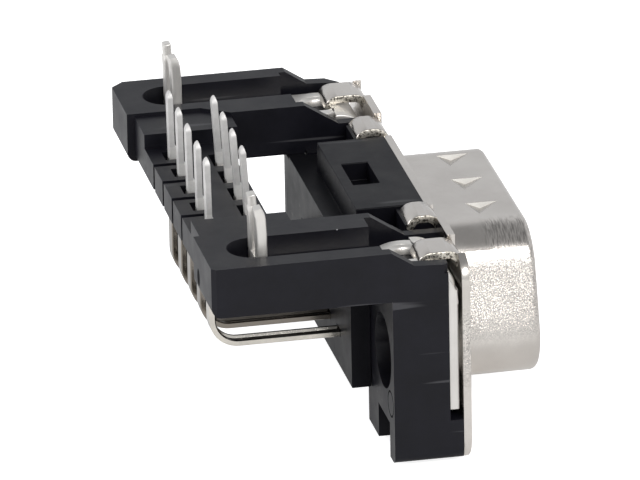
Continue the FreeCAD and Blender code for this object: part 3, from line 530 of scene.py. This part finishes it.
def sweep(path, section, scale=None):
    """Carry a section along a path of (x, y, z), keeping the section's width along X.

    The through direction is the path's tangent turned a quarter about X.  scale holds one
    (across, through) pair of factors for each path point.
    """
    path = np.asarray(path, float)
    tangent = np.gradient(path, axis=0)
    tangent[:, 0] = 0
    tangent /= np.linalg.norm(tangent, axis=1)[:, None]
    through = np.stack([0 * tangent[:, 0], -tangent[:, 2], tangent[:, 1]], -1)
    factors = np.ones((len(path), 2)) if scale is None else np.asarray(scale, float)
    section = np.broadcast_to(section, (len(path),) + np.shape(section)[-2:])
    across = (section[:, :, 0] * factors[:, :1])[:, :, None] * np.array([1.0, 0, 0])
    deep = (section[:, :, 1] * factors[:, 1:])[:, :, None] * through[:, None, :]
    return (path[:, None, :] + across + deep).reshape(-1, 3)


def bent_strip(name, path, section, node, finish, sharp=50, scale=None, others=()):
    """Piece of one section carried along a path of (x, y, z) and capped at both ends."""
    faces = ring_quads(len(path), np.shape(section)[-2])
    smooth_mesh(name, sweep(path, section, scale), faces, node, finish, sharp, others)


def smooth_path(corners, radius, steps=8):
    """Polyline in the YZ plane with every inner corner replaced by an arc of that radius.

    With a and b the directions to the neighbours and h half the angle between them, the arc's centre
    is corner + (a + b) / |a + b| radius / sin(h).  A corner that is all but straight is kept.
    """
    all_but_straight = 1.55  # half angle in radians
    corners = np.asarray(corners, float)
    radius = np.broadcast_to(radius, len(corners))
    out = [corners[:1]]
    for before, here, after, r in zip(corners[:-2], corners[1:-1], corners[2:], radius[1:-1]):
        a = (before - here) / np.linalg.norm(before - here)
        b = (after - here) / np.linalg.norm(after - here)
        half = np.arccos(np.clip(a @ b, -1, 1)) / 2
        if half > all_but_straight:
            out.append(here[None])
            continue
        reach = r / np.tan(half)
        centre = here + (a + b) / np.linalg.norm(a + b) * r / np.sin(half)
        start, end = here + a * reach - centre, here + b * reach - centre
        span = np.arccos(np.clip(start @ end / r ** 2, -1, 1))
        t = np.linspace(0, 1, steps)[:, None]
        out.append(centre + (np.sin((1 - t) * span) * start + np.sin(t * span) * end) / np.sin(span))
    out.append(corners[-1:])
    return np.concatenate(out)


def at_x(x, yz):
    """Put a YZ path at one x."""
    yz = np.asarray(yz, float)
    return np.column_stack([np.full(len(yz), x), yz])


ear_section = rounded_section(1.15, sheet / 2, 0.06)
ear_top = top - sheet / 2
for name, x, reach, droop in (("outer_ear", outer_ear_x, 2.75, 0.55),
                              ("inner_ear", inner_ear_x, 2.2, 0.75)):
    for end, side in (("far", 1), ("near", -1)):
        fold = smooth_path([(sheet / 2, notch_low - 0.3), (sheet / 2, ear_top), (reach - 0.5, ear_top),
                            (reach - 0.16, ear_top - droop)], [0, 0.72, 0.6, 0])
        narrowing = np.ones((len(fold), 2))
        narrowing[-1] = (0.93, 0.7)
        bent_strip(name + "_" + end, at_x(side * x, fold), ear_section, "front_shell", nickel,
                   scale=narrowing,
                   others=[(torn_edge, lambda centre, normal: np.abs(normal[:, 0]) > 0.8)])


# Contacts
# Nine stamped and rolled contacts of tinned copper alloy.  Each is a round hollow pin at the front, a
# ribbon with a coined groove through the back, bent up and thinned to a flat tail with a pencil
# point; the ribbon's full thickness ends as a foot just above the comb bar.

def tin_finish(slot):
    """Tinned copper: bright and smooth on the ribbons, dull and pale on the tails above the bar.

    dull = clamp((height - 11.2 mm) / 1.0 mm), which sets both the roughness and how metallic it is.
    """
    material, tree, shader, add = new_finish(slot)
    where = add("ShaderNodeTexCoord").outputs["Object"]
    place = add("ShaderNodeSeparateXYZ", {"Vector": where})
    dull = add("ShaderNodeMapRange", {"Value": place.outputs["Z"], "From Min": 0.0112,
                                      "From Max": 0.0122})
    cloud = add("ShaderNodeTexNoise", {"Vector": where, "Scale": 900.0, "Detail": 5.0,
                                       "Roughness": 0.65})
    tint = add("ShaderNodeValToRGB", {"Fac": cloud.outputs["Fac"]})
    tint.color_ramp.elements[0].position = 0.35
    tint.color_ramp.elements[0].color = (0.60, 0.57, 0.52, 1)
    tint.color_ramp.elements[1].position = 0.66
    tint.color_ramp.elements[1].color = (0.74, 0.70, 0.63, 1)
    # Painted reflection: upward faces of the ribbons are painted dark, for the dark bracket they mirror:
    # upper = clamp((normal's z - 0.5) / 0.3).
    normal = add("ShaderNodeSeparateXYZ", {"Vector": add("ShaderNodeNewGeometry").outputs["Normal"]})
    upper = add("ShaderNodeMapRange", {"Value": normal.outputs["Z"], "From Min": 0.5, "From Max": 0.8})
    # Painted shade: the ribbons behind the nearest ones are painted brown, where light does not reach:
    # inner = clamp((x + 4.3 mm) / 0.3 mm).
    inner = add("ShaderNodeMapRange", {"Value": place.outputs["X"], "From Min": -0.0043,
                                       "From Max": -0.0040})
    shaded = add("ShaderNodeMix", {"Factor": inner.outputs["Result"], "A": tint.outputs["Color"],
                                   "B": (0.26, 0.235, 0.205, 1)}, data_type="RGBA")
    top_shade = add("ShaderNodeMix", {"Factor": upper.outputs["Result"], "A": shaded.outputs["Result"],
                                    "B": (0.10, 0.09, 0.08, 1)}, data_type="RGBA")
    foot_end = add("ShaderNodeMapRange", {"Value": place.outputs["Z"], "From Min": 0.01282,
                                          "From Max": 0.01288})
    white = add("ShaderNodeMix", {"Factor": foot_end.outputs["Result"], "A": (0.80, 0.79, 0.77, 1),
                                  "B": (0.68, 0.67, 0.66, 1)}, data_type="RGBA")
    clouded = add("ShaderNodeMapRange", {"Value": cloud.outputs["Fac"], "From Min": 0.35,
                                         "From Max": 0.66, "To Min": 0.86, "To Max": 1.06})
    mottled = add("ShaderNodeMix", {"Factor": 1.0, "A": white.outputs["Result"],
                                    "B": clouded.outputs["Result"]},
                  data_type="RGBA", blend_type="MULTIPLY")
    pale = add("ShaderNodeMix", {"Factor": dull.outputs["Result"], "A": top_shade.outputs["Result"],
                                 "B": mottled.outputs["Result"]}, data_type="RGBA")
    tree.links.new(pale.outputs["Result"], shader.inputs["Base Color"])
    rough = add("ShaderNodeMapRange", {"Value": dull.outputs["Result"], "To Min": 0.16, "To Max": 0.5})
    metal = add("ShaderNodeMapRange", {"Value": dull.outputs["Result"], "To Min": 1.0, "To Max": 0.45})
    tree.links.new(rough.outputs["Result"], shader.inputs["Roughness"])
    tree.links.new(metal.outputs["Result"], shader.inputs["Metallic"])
    drawn = add("ShaderNodeMapping", {"Vector": where, "Scale": (6000.0, 500.0, 2500.0)})
    grain = add("ShaderNodeTexNoise", {"Vector": drawn.outputs["Vector"], "Scale": 1.0, "Detail": 3.0})
    bump = add("ShaderNodeBump", {"Strength": 0.5, "Distance": 0.00001, "Height": grain.outputs["Fac"]})
    tree.links.new(bump.outputs["Normal"], shader.inputs["Normal"])
    return material


tin = tin_finish("tinned_contact")
# Sections as (across, through): through points up on the ribbon and forwards on the tail.
ribbon = np.array([[-0.5, -0.12], [-0.44, -0.18], [0.44, -0.18], [0.5, -0.12], [0.5, 0.12], [0.44, 0.18],
                   [0.27, 0.18], [0.21, 0.04], [-0.21, 0.04], [-0.27, 0.18], [-0.44, 0.18], [-0.5, 0.12]])
foot = np.array([[-0.3, -0.15], [-0.28, -0.17], [0.28, -0.17], [0.3, -0.15], [0.3, 0.26], [0.28, 0.28],
                 [0.12, 0.28], [0.06, 0.28], [-0.06, 0.28], [-0.12, 0.28], [-0.28, 0.28], [-0.3, 0.26]])
tail = np.where(foot[:, 1:] > 0, foot - [0.0, 0.11], foot)
pencil_point = [[0.98, 0.98], [0.55, 0.62], [0.12, 0.2]]
# (y, radius) of the round pin, from its domed nose back into the insulator.
pin_profile = np.array([[-5.35, 0.08], [-5.32, 0.22], [-5.2, 0.36], [-4.98, 0.46], [-4.7, 0.505],
                        [-4.5, 0.51], [2.5, 0.51]])
turn = np.linspace(0, 2 * np.pi, 24, endpoint=False)

pitch, row_gap = 2.77, 2.84
ribbon_start, ribbon_bend = 2.4, 1.55
tail_start, tail_rise = -1.35, 4.35
# (x, height above the middle, y of the tail, rearward lean at its point), rear row first.
rows = [(pitch * step, -row_gap / 2, 13.1, 0.06) for step in (2, 1, 0, -1, -2)]
rows += [(pitch * step, row_gap / 2, 10.56, 0.27) for step in (1.5, 0.5, -0.5, -1.5)]
for number, (x, rise, tail_y, lean) in enumerate(rows, start=1):
    level = centre_z + rise
    sideways = 0.05 * np.sin(2.7 * number)
    body = smooth_path([(ribbon_start, level), (tail_y, level), (tail_y, -1.9)], ribbon_bend, steps=14)
    foot_top = -0.8 if number == 5 else -0.5
    climb = np.array([tail_start, -1.3, foot_top, foot_top + 0.02, 2.5, 2.62, 2.86, 2.99])
    share = (climb - tail_start) / tail_rise
    upper = np.column_stack([x + sideways * share, tail_y + lean * share, climb])
    path = np.concatenate([at_x(x, body), upper])
    sections = np.stack([ribbon] * (len(body) + 1) + [foot] * 2 + [tail] * 5)
    scale = np.ones((len(path), 2))
    scale[-3:] = pencil_point
    bent_strip("ribbon_%d" % number, path, sections, "contact_%d" % number, tin, sharp=28, scale=scale)
    pin = np.stack([np.column_stack([x + r * np.cos(turn), y + 0 * turn, level + r * np.sin(turn)])
                    for y, r in pin_profile])
    smooth_mesh("pin_%d" % number, pin.reshape(-1, 3), ring_quads(len(pin_profile), len(turn)),
                "contact_%d" % number, tin, sharp=60)


# Board locks
# A folded steel piece lies in each arm.  Its plate stands behind the flange, held by the screw; a
# wide bend leads over into a strap with a round eye, and at the rear the strap stands up as a fork
# whose two prongs spring in the board's hole.

steel = metal_finish("plated_lock", (0.80, 0.78, 0.75), (0.68, 0.66, 0.63), 0.36, 0.4, 2600.0,
                     metallic=0.75)
thick, strap_top = 0.55, -1.22
strap_mid = strap_top - thick / 2
plate_low, plate_high, plate_y, plate_half = -10.0, -2.74, 0.92, 0.31
bend_x, bend_y, bend_end = 12.29, 0.955, 2.4
eye_x, eye_y, eye_edge, eye_hole = 12.2, 3.0, 1.16, 0.92
strap_end, strap_half, fork_y = 10.9, 1.45, 11.65
around = np.linspace(0, 2 * np.pi, 40, endpoint=False)

# The plate's outer corner thins out upwards: thickness = rear face - front face.
lip_x, lip_rear, lip_thick = 14.79, 1.235, 0.63
lip_z = np.array([-3.6, -3.4, -3.0, -2.7, -2.4, -2.15, -2.0])
lip_front = np.array([0.605, 0.61, 0.67, 0.77, 0.92, 1.07, 1.17])
lip = np.column_stack([(lip_front + lip_rear) / 2, lip_z])
lip_scale = np.column_stack([np.ones(len(lip_z)), (lip_rear - lip_front) / lip_thick])

strap_side = screw_x + np.array([strap_half, -strap_half])
strap = np.concatenate([arc(eye_x, eye_y, 1.8, -19.5, 14.2),
                        np.column_stack([strap_side, np.full(2, strap_end)]),
                        arc(eye_x, eye_y, 1.8, 129.9, 199.5, 16)])
# (radius, height) of the eye's dished lip, from the strap's top down the hole and back outwards.
dish = np.array([[eye_edge, -0.03], [1.02, -0.08], [eye_hole, -0.22], [eye_hole, -thick],
                 [eye_edge, -thick]])
# Each prong as (name, step across, half width, half thickness, corners of its (y, z) path).
prong_step, prong_tip = 1.025, [[1.0, 1.0], [0.86, 0.72], [0.6, 0.4]]
prongs = (("far_prong", prong_step, 0.425, 0.29,
           [(fork_y, -0.5), (11.66, 1.0), (11.70, 1.9), (11.73, 2.25)]),
          ("far_tip", prong_step, 0.36, 0.23,
           [(11.71, 2.0), (11.74, 2.4), (11.77, 2.8), (11.79, 2.92)]),
          ("near_prong", -prong_step, 0.425, 0.29,
           [(fork_y, -0.5), (fork_y, 1.3), (11.70, 2.2), (11.84, 2.82)]))
for end, side in (("far", 1), ("near", -1)):
    node = "boardlock_" + end
    hole_x = side * screw_x
    bend = smooth_path([(bend_y, plate_high), (bend_y, strap_mid), (bend_end, strap_mid)], 1.2,
                       steps=12)
    bent_strip("bend_" + end, at_x(side * bend_x, bend), rounded_section(2.29, thick / 2, 0.08),
               node, steel)
    plate = [(plate_y, z) for z in (plate_low, plate_low + 0.05, plate_high - 0.06, plate_high)]
    bent_strip("plate_" + end, at_x(hole_x, plate), rounded_section(2.5, plate_half, 0.1), node, steel)
    bent_strip("plate_lip_" + end, at_x(side * lip_x, lip), rounded_section(0.2, lip_thick / 2, 0.02),
               node, steel, scale=lip_scale)

    points, faces = blank([strap, arc(eye_x, eye_y, eye_edge, 0, 351, 40)], thick, 0.04)
    lying = np.column_stack([side * points[:, 0], points[:, 1], strap_mid + points[:, 2]])
    smooth_mesh("strap_" + end, lying, faces, node, steel, sharp=35)
    eye = np.stack([np.column_stack([side * eye_x + r * np.cos(around), eye_y + r * np.sin(around),
                                     strap_top + z + 0 * around]) for r, z in dish])
    smooth_mesh("eye_" + end, eye.reshape(-1, 3), ring_quads(len(dish), len(around), closed=True),
                node, steel, sharp=50)

    rise = smooth_path([(strap_end, strap_mid), (fork_y, strap_mid), (fork_y, -0.4)], 0.5)
    bent_strip("upright_" + end, at_x(hole_x, rise), rounded_section(strap_half, thick / 2, 0.08),
               node, steel)
    for name, step, half_wide, half_thick, corners in prongs:
        path = smooth_path(corners, 0.9, steps=5)
        last = path[-1] - path[-2]
        tip = path[-1] + last / np.linalg.norm(last) * 0.001
        path = np.concatenate([path[:-1], [path[-2] + 0.45 * last, path[-1], tip]])
        scale = np.ones((len(path), 2))
        scale[-3:] = prong_tip
        bent_strip(name + "_of_" + end, at_x(hole_x + step, path),
                   rounded_section(half_wide, half_thick, 0.09), node, steel, scale=scale)


# Table, light and camera
# White sweep under plain soft boxes; the table shows itself to the camera almost without shade, as in
# the photograph, and still throws its light up.  The camera stands where the photograph's stood:
# 11.4 degrees round from the near end, 21.5 degrees up, with a long lens.

floor_mesh = bpy.data.meshes.new("table")
floor_mesh.from_pydata([(-3, -3, 0), (3, -3, 0), (3, 3, 0), (-3, 3, 0)], [], [(0, 1, 2, 3)])
floor = bpy.data.objects.new("table", floor_mesh)
bpy.context.scene.collection.objects.link(floor)
white, tree, shader, add = new_finish("table")
shader.inputs["Base Color"].default_value = (0.86, 0.86, 0.86, 1)
shader.inputs["Roughness"].default_value = 0.9
shader.inputs["Specular IOR Level"].default_value = 0.0
shader.inputs["Emission Color"].default_value = (1, 1, 1, 1)
light_path = add("ShaderNodeLightPath")
mirrored = add("ShaderNodeMath", {0: light_path.outputs["Is Glossy Ray"], 1: 0.14},
               operation="MULTIPLY")
glow = add("ShaderNodeMath", {0: light_path.outputs["Is Camera Ray"], 1: 0.82,
                              2: mirrored.outputs["Value"]}, operation="MULTIPLY_ADD")
tree.links.new(glow.outputs["Value"], shader.inputs["Emission Strength"])
floor_mesh.materials.append(white)

world = bpy.data.worlds.new("studio")
bpy.context.scene.world = world
world.use_nodes = True
sky = world.node_tree.nodes["Background"]
facing = world.node_tree.nodes.new("ShaderNodeTexCoord")
upwards = world.node_tree.nodes.new("ShaderNodeSeparateXYZ")
# Dimmer overhead: strength falls from 0.72 to 0.34 as the direction's z rises from 0.62 to 0.86.
shade = world.node_tree.nodes.new("ShaderNodeMapRange")
for key, bound in (("From Min", 0.62), ("From Max", 0.86), ("To Min", 0.72), ("To Max", 0.34)):
    shade.inputs[key].default_value = bound
world.node_tree.links.new(facing.outputs["Generated"], upwards.inputs["Vector"])
world.node_tree.links.new(upwards.outputs["Z"], shade.inputs["Value"])
world.node_tree.links.new(shade.outputs["Result"], sky.inputs["Strength"])
sky.inputs["Color"].default_value = (0.96, 0.975, 1.0, 1)


def soft_box(name, where, target, width, height, power, colour):
    """Rectangular lamp turned towards a point."""
    lamp = bpy.data.lights.new(name, "AREA")
    lamp.shape = "RECTANGLE"
    lamp.size, lamp.size_y = width, height
    lamp.energy = power
    lamp.color = colour
    box = bpy.data.objects.new(name, lamp)
    bpy.context.scene.collection.objects.link(box)
    ahead = np.subtract(target, where)
    ahead = ahead / np.linalg.norm(ahead)
    across = np.cross(ahead, [0, 0, 1.0])
    across /= np.linalg.norm(across)
    turned = Matrix(np.column_stack([across, np.cross(across, ahead), -ahead]).tolist()).to_4x4()
    turned.translation = where
    box.matrix_world = turned


middle = (0, 0, 0.006)
soft_box("key", (-0.51, -0.12, 0.37), middle, 0.34, 0.17, 2.1, (1.0, 0.985, 0.96))
soft_box("rear fill", (0.1, 0.55, 0.3), middle, 0.4, 0.3, 1.6, (1.0, 1.0, 1.0))

# The view as fitted to the photograph: a point ahead of the camera, and how far off it stands.
azimuth, elevation, roll = np.radians([11.369, 21.529, -1.094])
distance, focal_pixels, frame_pixels, film = 646.86, 11199.6, 640, 36.0
away = np.array([-np.cos(elevation) * np.cos(azimuth), np.cos(elevation) * np.sin(azimuth),
                 np.sin(elevation)])
level = np.cross(-away, [0, 0, 1.0])
level /= np.linalg.norm(level)
upright = np.cross(level, -away)
across = np.cos(roll) * level + np.sin(roll) * upright
upright = np.cos(roll) * upright - np.sin(roll) * level
ahead = np.array([0.0, 8.0, -4.0]) + across * 2.438 - upright * 0.654
lens = bpy.data.cameras.new("camera")
lens.sensor_width = film
lens.lens = focal_pixels * film / frame_pixels
lens.clip_start = 0.05
camera = bpy.data.objects.new("camera", lens)
bpy.context.scene.collection.objects.link(camera)
pose = Matrix(np.column_stack([across, upright, away]).tolist()).to_4x4()
pose.translation = to_table(ahead + away * distance)
camera.matrix_world = pose
bpy.context.scene.camera = camera
bpy.context.scene.view_settings.view_transform = "Standard"
